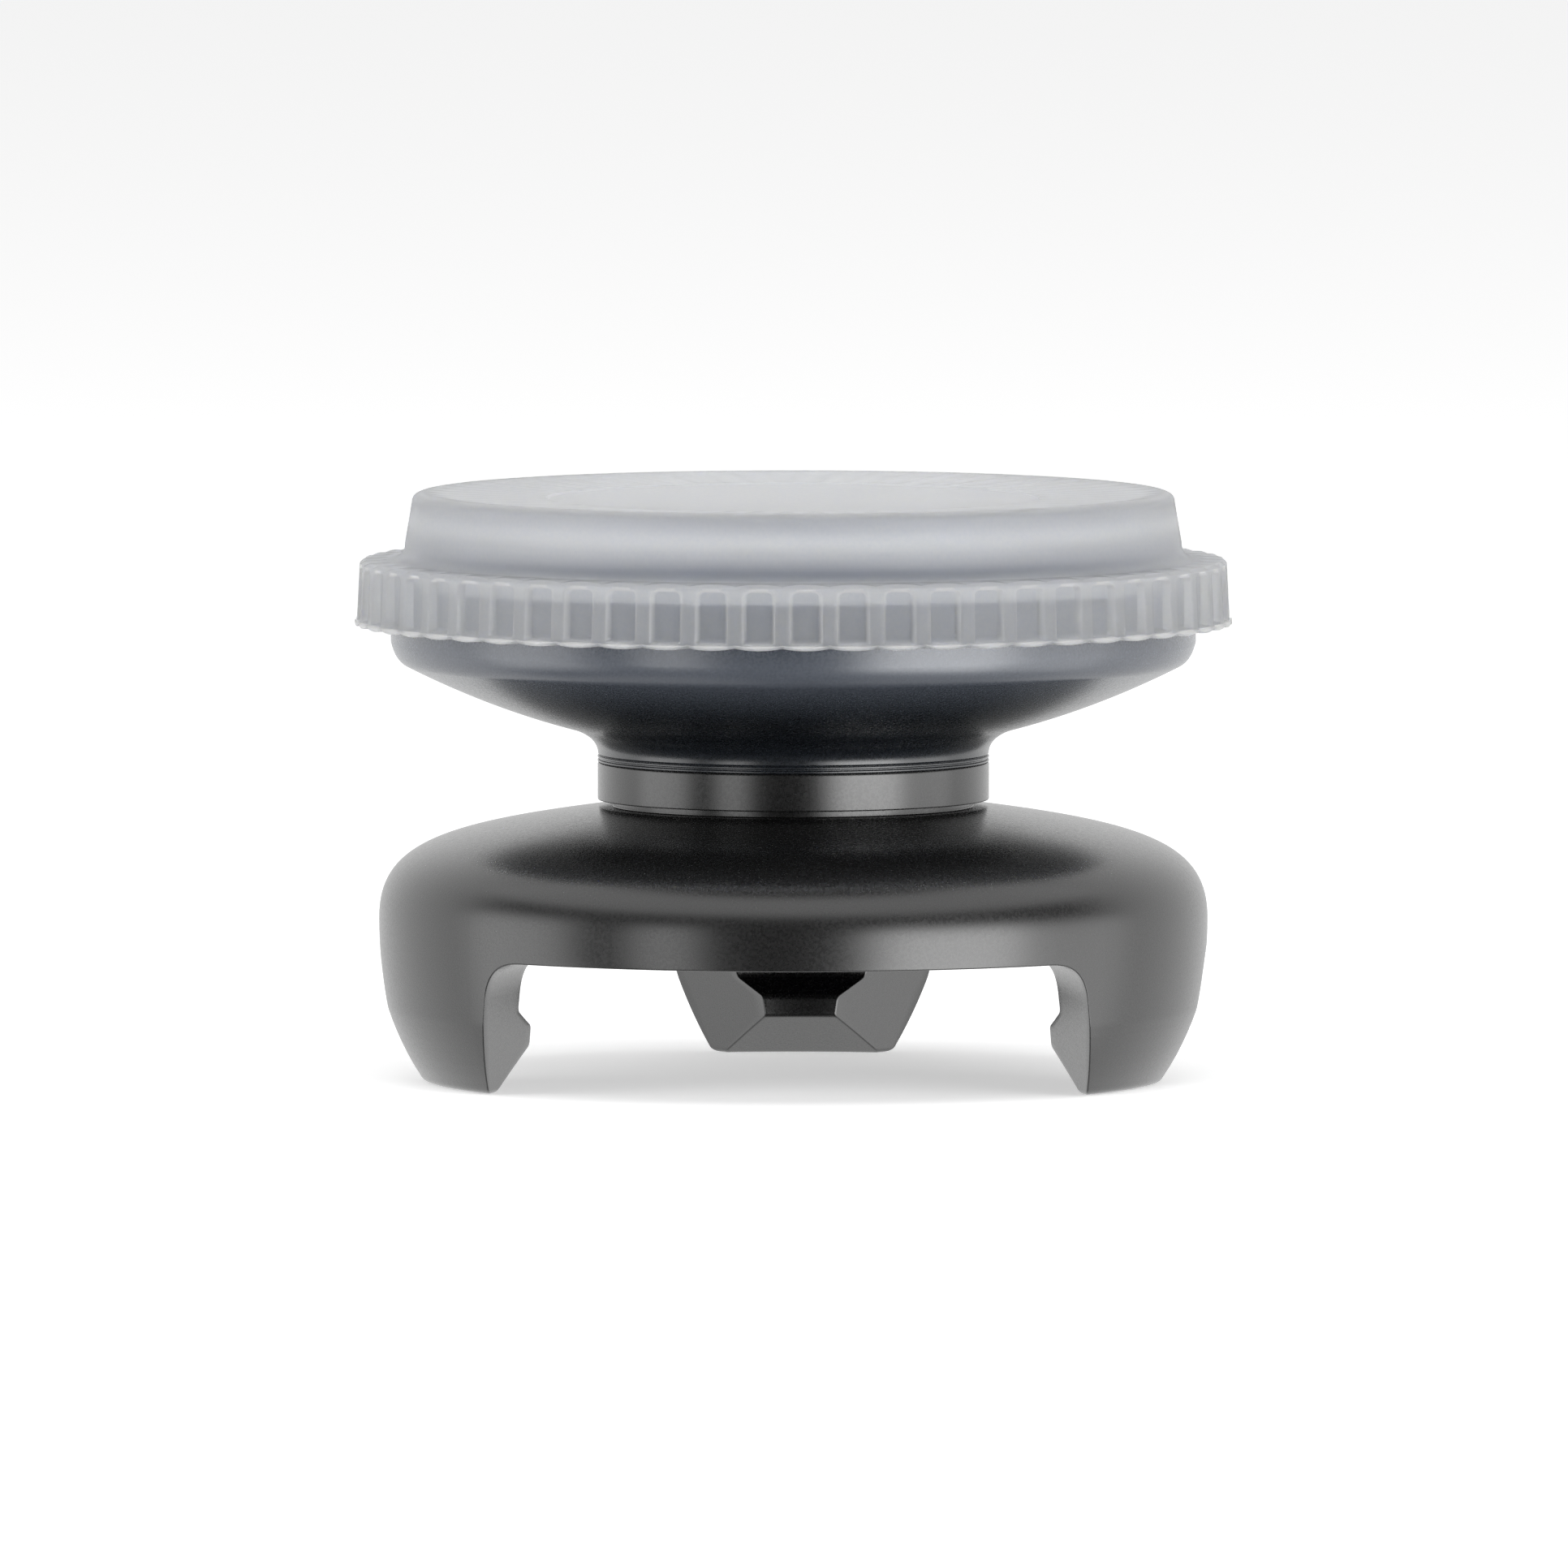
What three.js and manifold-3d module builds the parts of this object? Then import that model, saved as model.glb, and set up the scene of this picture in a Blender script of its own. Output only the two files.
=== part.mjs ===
// Thumb grip that clips onto the stick of a game controller.
// Millimetres, +Z up. The origin is on the axis, level with the tips of the prongs,
// and the wide window between two of the prongs looks towards -Y.
import * as THREE from 'three';
import { mergeVertices } from 'three/addons/utils/BufferGeometryUtils.js';
import Module from 'manifold-3d';

const wasm = await Module();
wasm.setup();

// The stick head that the clip holds, and how it is held
const headDiameter = 15.5;
const headClearance = 0.25; // all round the head
const headEdge = 2.35; // height of the head's edge, from the hooks' ledges to the seat
const hookGrip = 0.55; // how far a hook reaches in under the head
const leadInHeight = 1.05; // slope that lets the head push the prongs apart
const hookLand = 0.5;
const ledgeRise = 0.45;
const seatRadius = 5.2;
const seatStep = 0.6; // the seat stands down from the ceiling by this
const ceilingFillet = 0.6;

// Clip base: a dome with three prongs
const wallThickness = 2.42; // round the cavity, at the widest line
const equatorHeight = 4.09;
const crownRise = 1.92; // from the cavity's ceiling up to the groove under the collar
const crownReach = 3.8; // flat run of the dome, away from the collar
const crownFall = 0.53;
const shoulderReach = 1.9; // upright run of the dome, above the equator
const kneeInset = 0.2; // where the prongs start to taper, inside the widest line
const kneeHeight = 1.84;
const footInset = 1.04;
const footLand = 0.3;
const footRound = 0.2;
const taperBow = 0.06; // the tapered faces bulge by this
const roofThickness = 1.25; // between the ceiling and the floor of the socket

// Windows between the prongs
const windowTop = 3.43;
const windowCorner = 0.95;
const frontWindowHalf = 7.38; // half width at the outer wall, at the top of the window
const sideWindowHalf = 6.2;
const sideWindowTurn = 123; // degrees from the front
const windowSplay = 16; // degrees, the cut ends open outwards in plan
const windowDraft = 9; // degrees, and downwards

// Collar of the base and the socket in it
const collarRadius = 4.92;
const collarHeight = 1.0;
const grooveHeight = 0.12;
const grooveDepth = 0.4;
const seamChamfer = 0.05;
const stemRadius = 3.0;
const stemClearance = 0.15;
const stemEndClearance = 0.2;
const stemChamfer = 0.25;

// Pedestal: hollow-sided neck, wide cone and flange
const neckRise = 0.86;
const neckFlare = 0.68;
const coneRise = 1.59;
const coneInset = 0.37; // the cone ends inside the flange's edge
const coneBow = 0.17; // how far the cone sags below a straight line
const flangeInset = 0.3; // the flange stands inside the base's widest line
const flangeCorner = 0.59;
const flangeTurnIn = 0.1; // the corner's curve is pulled to this far inside the edge
const flangeTurnRise = 0.13; // and this far above the cone
const flangeBand = 1.56;
const flangeChamfer = 0.2;

// Soft cap: ribbed ring, pad and dished top
const skirtClearance = 0.13;
const skirtDrop = 1.13; // how far the ring hangs down over the flange
const ringHeight = 1.64;
const ringWall = 0.65; // at the top
const ringDraft = 0.07; // wider at the bottom by this
const ringEdge = 0.1;
const lipHeight = 0.11;
const lipOut = 0.06;
const ribCount = 58;
const recessWidth = 0.8;
const recessDepth = 0.17; // at the top of the ring
const recessCorner = 0.18;
const recessMargin = 0.05; // left above and below each recess
const shelfWidth = 1.14; // from the pad's wall out to the ring's edge
const padHeight = 1.68;
const padDraft = 0.17;
const padFillet = 0.42; // where the pad's wall runs out onto the ring
const rimRound = 0.36;
const rimWidth = 0.5;
const dishRadius = 6.2;
const dishFall = 0.13; // from the rim to the edge of the middle
const dishStep = 0.05;
const dishDepth = 0.3; // of the middle below its edge

// Levels and radii that follow from those
const cavityRadius = headDiameter / 2 + headClearance;
const equatorRadius = cavityRadius + wallThickness;
const kneeRadius = equatorRadius - kneeInset;
const footRadius = equatorRadius - footInset;
const flangeRadius = equatorRadius - flangeInset;
const coneRadius = flangeRadius - coneInset;
const ringRadius = flangeRadius + skirtClearance + ringWall;
const padRadius = ringRadius - shelfWidth;
const hookRadius = headDiameter / 2 - hookGrip;
const ledgeZ = leadInHeight + hookLand;
const seatZ = ledgeZ + ledgeRise + headEdge;
const ceilingZ = seatZ + seatStep;
const socketFloorZ = ceilingZ + roofThickness;
const domeHeight = ceilingZ + crownRise;
const collarZ = domeHeight + grooveHeight;
const seamZ = collarZ + collarHeight;
const neckZ = seamZ + neckRise;
const neckRadius = collarRadius + neckFlare;
const coneZ = neckZ + coneRise;
const coneRun = coneRadius - neckRadius;
const flangeZ = coneZ + flangeCorner;
const capZ = flangeZ + flangeBand;
const ringBottomZ = capZ - skirtDrop;
const shelfZ = ringBottomZ + ringHeight;
const rimZ = shelfZ + padHeight;

const clipSteps = 64;
const pedestalSteps = 64;
const capSteps = 2 * ribCount; // one facet for each half of a rib and its recess

function toSolid(geometry) {
  const bare = geometry.index ? geometry.toNonIndexed() : geometry.clone();
  bare.deleteAttribute('normal');
  bare.deleteAttribute('uv');
  const merged = mergeVertices(bare, 1e-5);
  const corners = merged.index.array;
  const kept = [];
  for (let i = 0; i < corners.length; i += 3) {
    const [a, b, c] = [corners[i], corners[i + 1], corners[i + 2]];
    if (a !== b && b !== c && c !== a) kept.push(a, b, c);
  }
  return new wasm.Manifold(new wasm.Mesh({
    numProp: 3,
    vertProperties: Float32Array.from(merged.attributes.position.array),
    triVerts: Uint32Array.from(kept),
  }));
}

function toMesh(solid, name, material) {
  const { vertProperties, triVerts } = solid.getMesh();
  const geometry = new THREE.BufferGeometry();
  geometry.setAttribute('position', new THREE.BufferAttribute(vertProperties, 3));
  geometry.setIndex(new THREE.BufferAttribute(triVerts, 1));
  const flat = geometry.toNonIndexed();
  flat.computeVertexNormals();
  const mesh = new THREE.Mesh(flat, material);
  mesh.name = name;
  return mesh;
}

// Turns an outline of (radius, height) about the Z axis, from the bottom to the top.
function revolve(outline, steps, curveSteps) {
  const points = [];
  for (const point of outline.getPoints(curveSteps)) {
    const last = points[points.length - 1];
    if (!last || last.distanceTo(point) > 1e-4) points.push(point);
  }
  return toSolid(new THREE.LatheGeometry(points, steps).rotateX(Math.PI / 2));
}

// Cuts the front outline of a window through the wall, wider outside than inside.
function windowCutter(half, turn) {
  const flare = Math.tan(THREE.MathUtils.degToRad(windowDraft));
  const splay = Math.tan(THREE.MathUtils.degToRad(windowSplay));
  const below = 1;
  const kneeDepth = Math.sqrt(kneeRadius ** 2 - half ** 2);
  const cornerHalf = half + windowCorner * flare;
  const bottomHalf = half + (windowTop + below) * flare;
  const outline = new THREE.Shape();
  outline.moveTo(-bottomHalf, -below);
  outline.lineTo(bottomHalf, -below);
  outline.lineTo(cornerHalf, windowTop - windowCorner);
  outline.quadraticCurveTo(half, windowTop, half - windowCorner, windowTop);
  outline.lineTo(windowCorner - half, windowTop);
  outline.quadraticCurveTo(-half, windowTop, -cornerHalf, windowTop - windowCorner);
  const start = 2;
  const reach = equatorRadius + 2 - start;
  const geometry = new THREE.ExtrudeGeometry(outline, {
    depth: reach, bevelEnabled: false, curveSegments: 5,
  });
  geometry.translate(0, 0, start);
  const position = geometry.attributes.position;
  for (let i = 0; i < position.count; i += 1) {
    const widen = 1 + (position.getZ(i) - kneeDepth) * splay / half;
    position.setX(i, position.getX(i) * widen);
  }
  geometry.rotateX(Math.PI / 2);
  geometry.rotateZ(THREE.MathUtils.degToRad(turn));
  return toSolid(geometry);
}

function clipBase(material) {
  const outline = new THREE.Path();
  outline.moveTo(0, seatZ);
  outline.lineTo(seatRadius, seatZ);
  outline.lineTo(seatRadius, ceilingZ);
  outline.lineTo(cavityRadius - ceilingFillet, ceilingZ);
  outline.quadraticCurveTo(cavityRadius, ceilingZ, cavityRadius, ceilingZ - ceilingFillet);
  outline.lineTo(cavityRadius, ledgeZ + ledgeRise);
  outline.lineTo(hookRadius, ledgeZ);
  outline.lineTo(hookRadius, leadInHeight);
  outline.lineTo(footRadius - footRound - footLand, 0);
  outline.lineTo(footRadius - footRound, 0);
  const taper = (kneeRadius - footRadius) / kneeHeight;
  outline.quadraticCurveTo(footRadius, 0, footRadius + footRound * taper, footRound);
  outline.quadraticCurveTo(
    (footRadius + kneeRadius) / 2 + 2 * taperBow, kneeHeight / 2, kneeRadius, kneeHeight,
  );
  outline.quadraticCurveTo(
    equatorRadius, (kneeHeight + equatorHeight) / 2, equatorRadius, equatorHeight,
  );
  outline.bezierCurveTo(
    equatorRadius, equatorHeight + shoulderReach,
    collarRadius + crownReach, domeHeight - crownFall,
    collarRadius, domeHeight,
  );
  outline.lineTo(collarRadius - grooveDepth, domeHeight);
  outline.lineTo(collarRadius - grooveDepth, collarZ);
  outline.lineTo(collarRadius, collarZ);
  outline.lineTo(collarRadius, seamZ - seamChamfer);
  outline.lineTo(collarRadius - seamChamfer, seamZ);
  outline.lineTo(stemRadius + stemClearance, seamZ);
  outline.lineTo(stemRadius + stemClearance, socketFloorZ);
  outline.lineTo(0, socketFloorZ);
  let solid = revolve(outline, clipSteps, 6);
  solid = solid.subtract(windowCutter(frontWindowHalf, 0));
  solid = solid.subtract(windowCutter(sideWindowHalf, sideWindowTurn));
  solid = solid.subtract(windowCutter(sideWindowHalf, -sideWindowTurn));
  return toMesh(solid, 'clip_base', material);
}

function pedestal(material) {
  const slope = coneRise / coneRun;
  const outline = new THREE.Path();
  outline.moveTo(0, socketFloorZ + stemEndClearance);
  outline.lineTo(stemRadius - stemChamfer, socketFloorZ + stemEndClearance);
  outline.lineTo(stemRadius, socketFloorZ + stemEndClearance + stemChamfer);
  outline.lineTo(stemRadius, seamZ);
  outline.lineTo(collarRadius - seamChamfer, seamZ);
  outline.lineTo(collarRadius, seamZ + seamChamfer);
  outline.bezierCurveTo(
    collarRadius, seamZ + neckRise * 0.58,
    collarRadius + neckFlare * 0.34, neckZ - neckFlare * 0.2,
    neckRadius, neckZ,
  );
  outline.bezierCurveTo(
    neckRadius + coneRun / 3, neckZ + coneRun / 3 * slope - coneBow,
    coneRadius - coneRun / 3, coneZ - coneRun / 3 * slope - coneBow,
    coneRadius, coneZ,
  );
  outline.quadraticCurveTo(flangeRadius - flangeTurnIn, coneZ + flangeTurnRise, flangeRadius, flangeZ);
  outline.lineTo(flangeRadius, capZ - flangeChamfer);
  outline.lineTo(flangeRadius - flangeChamfer, capZ);
  outline.lineTo(0, capZ);
  return toMesh(revolve(outline, pedestalSteps, 4), 'pedestal', material);
}

// One rib recess: upright, with round upper corners, cut from the outside of the ring.
function recessCutter(index) {
  const half = recessWidth / 2;
  const bottom = ringBottomZ + lipHeight + recessMargin;
  const top = shelfZ - ringEdge - recessMargin;
  const outline = new THREE.Shape();
  outline.moveTo(-half, bottom);
  outline.lineTo(half, bottom);
  outline.lineTo(half, top - recessCorner);
  outline.quadraticCurveTo(half, top, half - recessCorner, top);
  outline.lineTo(recessCorner - half, top);
  outline.quadraticCurveTo(-half, top, -half, top - recessCorner);
  const geometry = new THREE.ExtrudeGeometry(outline, {
    depth: recessDepth + 1, bevelEnabled: false, curveSegments: 2,
  });
  geometry.translate(0, 0, ringRadius - recessDepth);
  geometry.rotateX(Math.PI / 2);
  geometry.rotateZ((index + 0.5) / ribCount * 2 * Math.PI); // a rib looks to the front
  return toSolid(geometry);
}

function gripCap(material) {
  const boreRadius = flangeRadius + skirtClearance;
  const lipRadius = ringRadius + ringDraft + lipOut;
  const rimRadius = padRadius - padDraft;
  const dishZ = rimZ - dishFall;
  const outline = new THREE.Path();
  outline.moveTo(0, capZ);
  outline.lineTo(boreRadius, capZ);
  outline.lineTo(boreRadius, ringBottomZ);
  outline.lineTo(lipRadius, ringBottomZ);
  outline.lineTo(lipRadius, ringBottomZ + lipHeight / 2);
  outline.lineTo(ringRadius + ringDraft, ringBottomZ + lipHeight);
  outline.lineTo(ringRadius, shelfZ - ringEdge);
  outline.lineTo(ringRadius - ringEdge, shelfZ);
  outline.lineTo(padRadius + padFillet, shelfZ);
  outline.quadraticCurveTo(padRadius, shelfZ, padRadius, shelfZ + padFillet);
  outline.lineTo(rimRadius, rimZ - rimRound * 0.7);
  outline.quadraticCurveTo(rimRadius, rimZ, rimRadius - rimRound, rimZ);
  outline.lineTo(rimRadius - rimWidth, rimZ - dishFall * 0.1);
  outline.lineTo(dishRadius, dishZ);
  outline.lineTo(dishRadius - dishStep, dishZ - dishStep);
  outline.quadraticCurveTo(dishRadius / 2, dishZ - dishStep - dishDepth,
    0, dishZ - dishStep - dishDepth);
  let solid = revolve(outline, capSteps, 3);
  for (let index = 0; index < ribCount; index += 1) {
    solid = solid.subtract(recessCutter(index));
  }
  return toMesh(solid, 'grip_cap', material);
}

const satinBlack = new THREE.MeshStandardMaterial({
  color: 0x3a3a3b, roughness: 0.42, metalness: 0,
});
const smokyBlack = new THREE.MeshStandardMaterial({
  color: 0x2d3038, roughness: 0.4, metalness: 0,
});
const frostedGrey = new THREE.MeshStandardMaterial({
  color: 0xb3b8c0, roughness: 0.6, metalness: 0, transparent: true, opacity: 0.85,
});

const grip = new THREE.Group();
grip.add(clipBase(satinBlack));
grip.add(pedestal(smokyBlack));
grip.add(gripCap(frostedGrey));

export default grip;
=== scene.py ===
import math

import bpy
import bmesh
import numpy as np
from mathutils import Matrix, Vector


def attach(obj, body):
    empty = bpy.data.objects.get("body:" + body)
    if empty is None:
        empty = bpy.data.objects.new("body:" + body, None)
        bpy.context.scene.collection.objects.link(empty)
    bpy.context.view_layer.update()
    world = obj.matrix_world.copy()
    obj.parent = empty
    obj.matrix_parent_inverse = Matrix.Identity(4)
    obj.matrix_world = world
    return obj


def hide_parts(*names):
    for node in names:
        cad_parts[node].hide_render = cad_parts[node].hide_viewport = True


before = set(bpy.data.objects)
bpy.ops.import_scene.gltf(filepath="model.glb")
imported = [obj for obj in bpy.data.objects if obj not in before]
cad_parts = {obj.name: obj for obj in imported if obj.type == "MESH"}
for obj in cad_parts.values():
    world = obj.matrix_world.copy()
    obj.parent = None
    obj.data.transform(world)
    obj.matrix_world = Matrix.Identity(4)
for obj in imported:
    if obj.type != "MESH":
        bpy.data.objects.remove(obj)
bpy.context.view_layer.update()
mm = 0.001

shot = {
    "azimuth": 1.45,  # degrees round to the right of the front
    "elevation": 3.85,
    "distance": 900,  # mm, a long lens from far away
    "lens": 821.7,
    "aimHeight": 7.42,  # mm above the feet
    "axisRight": 0.235,  # mm, the grip's axis stands right of the frame's middle
}


def makeCamera():
    a, e = math.radians(shot["azimuth"]), math.radians(shot["elevation"])
    back = Vector((math.sin(a) * math.cos(e), -math.cos(a) * math.cos(e), math.sin(e)))
    right = Vector((math.cos(a), math.sin(a), 0))
    aim = Vector((0, 0, shot["aimHeight"] * mm)) - right * shot["axisRight"] * mm
    data = bpy.data.cameras.new("camera")
    data.lens, data.sensor_width = shot["lens"], 36
    data.clip_start, data.clip_end = 0.05, 10
    camera = bpy.data.objects.new("camera", data)
    bpy.context.scene.collection.objects.link(camera)
    camera.location = aim + back * shot["distance"] * mm
    camera.rotation_euler = (-back).to_track_quat("-Z", "Y").to_euler()
    bpy.context.scene.camera = camera


makeCamera()
print("camera set")


def roundedPath(corners, steps=5):
    # A run of (radius, height, round) corners. A corner with a round becomes a quadratic
    # curve that starts and ends that far from it, with a point just outside each end so
    # that the flat beside it stays flat when it is shaded smooth.
    guard = 1.4  # where that point stands, as a share of the round
    pts = np.array(corners, float)
    out = [pts[0, :2]]
    for before, here, after in zip(pts[:-2], pts[1:-1], pts[2:]):
        p, size = here[:2], here[2]
        if size <= 0:
            out.append(p)
            continue
        u, v = before[:2] - p, after[:2] - p
        lu, lv = np.hypot(*u), np.hypot(*v)
        size = min(size, 0.49 * lu, 0.49 * lv)
        t = np.linspace(0, 1, steps + 1)[:, None]
        a, b = p + u / lu * size, p + v / lv * size
        curve = (1 - t) ** 2 * a + 2 * t * (1 - t) * p + t ** 2 * b
        if lu > 2.5 * size:
            out.append(p + u / lu * size * guard)
        out.extend(curve)
        if lv > 2.5 * size:
            out.append(p + v / lv * size * guard)
    out.append(pts[-1, :2])
    return np.array(out)


def bezier(a, b, c, d, steps):
    # Cubic curve from a to d, without its first point, as (radius, height, 0) corners
    t = np.linspace(0, 1, steps + 1)[1:, None]
    a, b, c, d = (np.array(p, float) for p in (a, b, c, d))
    xy = (1 - t) ** 3 * a + 3 * t * (1 - t) ** 2 * b + 3 * t ** 2 * (1 - t) * c + t ** 3 * d
    return [(x, y, 0) for x, y in xy]


def quadratic(a, b, c, steps):
    # The same for a quadratic curve, raised to a cubic one
    a, b, c = (np.array(p, float) for p in (a, b, c))
    return bezier(a, a + (b - a) * 2 / 3, c + (b - c) * 2 / 3, c, steps)


def gridPiece(name, radius, height, angle, layers=None):
    # Arrays of rows by columns: a point is (radius sin angle, -radius cos angle, height),
    # closed round the columns, with quads between neighbours. Rows that meet on the axis
    # or shrink to nothing are merged, then the closed shell's faces are turned outwards.
    rows, columns = np.broadcast(radius, height, angle).shape
    co = np.empty((rows, columns, 3))
    co[..., 0] = radius * np.sin(angle)
    co[..., 1] = -radius * np.cos(angle)
    co[..., 2] = height
    index = np.arange(rows * columns).reshape(rows, columns)
    nextColumn = np.roll(index, -1, axis=1)
    quads = np.stack([index[:-1], nextColumn[:-1], nextColumn[1:], index[1:]], -1).reshape(-1, 4)
    mesh = bpy.data.meshes.new(name)
    mesh.vertices.add(rows * columns)
    mesh.vertices.foreach_set("co", (co * mm).ravel())
    mesh.loops.add(quads.size)
    mesh.loops.foreach_set("vertex_index", quads.ravel())
    mesh.polygons.add(len(quads))
    mesh.polygons.foreach_set("loop_start", np.arange(len(quads)) * 4)
    mesh.update(calc_edges=True)
    for key, values in (layers or {}).items():
        layer = mesh.attributes.new(key, "FLOAT", "POINT")
        spread = np.broadcast_to(values, (rows, columns)).ravel()
        layer.data.foreach_set("value", spread.astype(np.float32))
    work = bmesh.new()
    work.from_mesh(mesh)
    bmesh.ops.remove_doubles(work, verts=work.verts, dist=4e-7)
    bmesh.ops.dissolve_degenerate(work, edges=work.edges, dist=1e-7)
    bmesh.ops.recalc_face_normals(work, faces=work.faces)
    work.to_mesh(mesh)
    work.free()
    mesh.polygons.foreach_set("use_smooth", np.ones(len(mesh.polygons), bool))
    piece = bpy.data.objects.new(name, mesh)
    bpy.context.scene.collection.objects.link(piece)
    print(name, len(mesh.vertices), "vertices", len(mesh.polygons), "faces", openEdges(mesh), "open edges")
    return piece


def openEdges(mesh):
    # How many edges don't have exactly two faces; a closed shell has none
    count = np.zeros(len(mesh.edges), int)
    loops = np.empty(len(mesh.loops), int)
    mesh.loops.foreach_get("edge_index", loops)
    np.add.at(count, loops, 1)
    return int(np.sum(count != 2))


def revolved(name, path, columns):
    # The path of (radius, height) points carried once round the axis
    angle = np.arange(columns) / columns * 2 * math.pi
    return gridPiece(name, path[:, :1] * np.ones(columns), path[:, 1:] * np.ones(columns),
                     np.ones((len(path), 1)) * angle)


clip = {
    "seat": (5.2, 4.35), "ceiling": 4.95, "cavity": 8.0, "ceilingFillet": 0.6,
    "ledgeTop": 2.0, "ledge": 1.55, "leadIn": 1.05, "hook": 7.2,
    "footInside": 8.88, "footOutside": 9.38, "footRound": 0.2,
    "knee": (10.22, 1.84), "equator": (10.42, 4.09),
    "dome": (4.92, 6.87), "shoulder": 1.9, "crownReach": 3.8, "crownFall": 0.53,
    "grooveDepth": 0.4, "collarBottom": 7.05, "collarTop": 7.99, "socket": (3.15, 6.2),
    "windowTop": 3.43, "windowCorner": 0.95, "draft": 9, "splay": 16,
    "windows": [(0, 7.38), (123, 6.2), (237, 6.2)],  # degrees from the front, half width
    "edge": 0.04,  # round of the windows' edges
    "tip": 0.14,  # round of the prongs' lower corners
    "kneeRound": 0.09, "ledgeRound": 0.12, "hookRound": 0.1, "collarRound": 0.05, "grooveRound": 0.03,
    "footBulge": 0.12,  # how far the outer face bows out between foot and knee
    "cavityFoot": 4.0,  # where the plain cavity wall ends and the windows' levels take over
    "extraLevels": [2.3, 2.15, 0.75, 0.5, 0.3], "prongColumns": 16,
    "domeAngleAt": 8.6,  # inside this radius the dome's columns run straight to the axis
}


def cutAngle(x, half, radius):
    # Where a window's cut end, splayed in plan, meets a wall of this radius: the cut's half
    # width grows with its depth, so x and depth on the circle are found by a few repeats.
    kneeDepth = math.sqrt(clip["knee"][0] ** 2 - half ** 2)
    k = math.tan(math.radians(clip["splay"])) / half
    at = x * np.ones_like(radius)
    for _ in range(30):
        depth = np.sqrt(np.maximum(radius ** 2 - at ** 2, 0.01))
        at = 0.5 * at + 0.5 * x * (1 + (depth - kneeDepth) * k)
    return np.arcsin(np.clip(at / radius, -1, 1))


def windowSide(half, levels):
    # One side of a window's outline, from the middle of its top to the prong's foot:
    # half width, height, and the direction into the plastic, as columns
    top, corner = clip["windowTop"], clip["windowCorner"]
    flare = math.tan(math.radians(clip["draft"]))
    flat = np.linspace(0, half - corner, 21)[:-1]
    t = np.linspace(0, 1, 13)
    bendX = (1 - t) ** 2 * (half - corner) + 2 * t * (1 - t) * half + t ** 2 * (half + corner * flare)
    bendZ = (1 - t) ** 2 * top + 2 * t * (1 - t) * top + t ** 2 * (top - corner)
    slopeX = 2 * (1 - t) * corner + 2 * t * corner * flare
    slopeZ = -2 * t * corner
    size = np.hypot(slopeX, slopeZ)
    down = levels[(levels < top - corner - 0.01) & (levels > clip["tip"] + 0.02)]
    tip = clip["tip"]
    tilt = np.linspace(math.radians(clip["draft"]), math.pi / 2, 7)
    tipX = half + (top - tip) * flare + tip * (1 - np.cos(tilt))
    tipZ = tip * (1 - np.sin(tilt))
    x = np.concatenate([flat, bendX, half + (top - down) * flare, tipX])
    z = np.concatenate([flat * 0 + top, bendZ, down, tipZ])
    lean = math.radians(clip["draft"])
    nx = np.concatenate([flat * 0, -slopeZ / size, down * 0 + math.cos(lean), np.cos(tilt)])
    nz = np.concatenate([flat * 0 + 1, slopeX / size, down * 0 + math.sin(lean), np.sin(tilt)])
    return np.stack([x, z, nx, nz])


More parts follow.
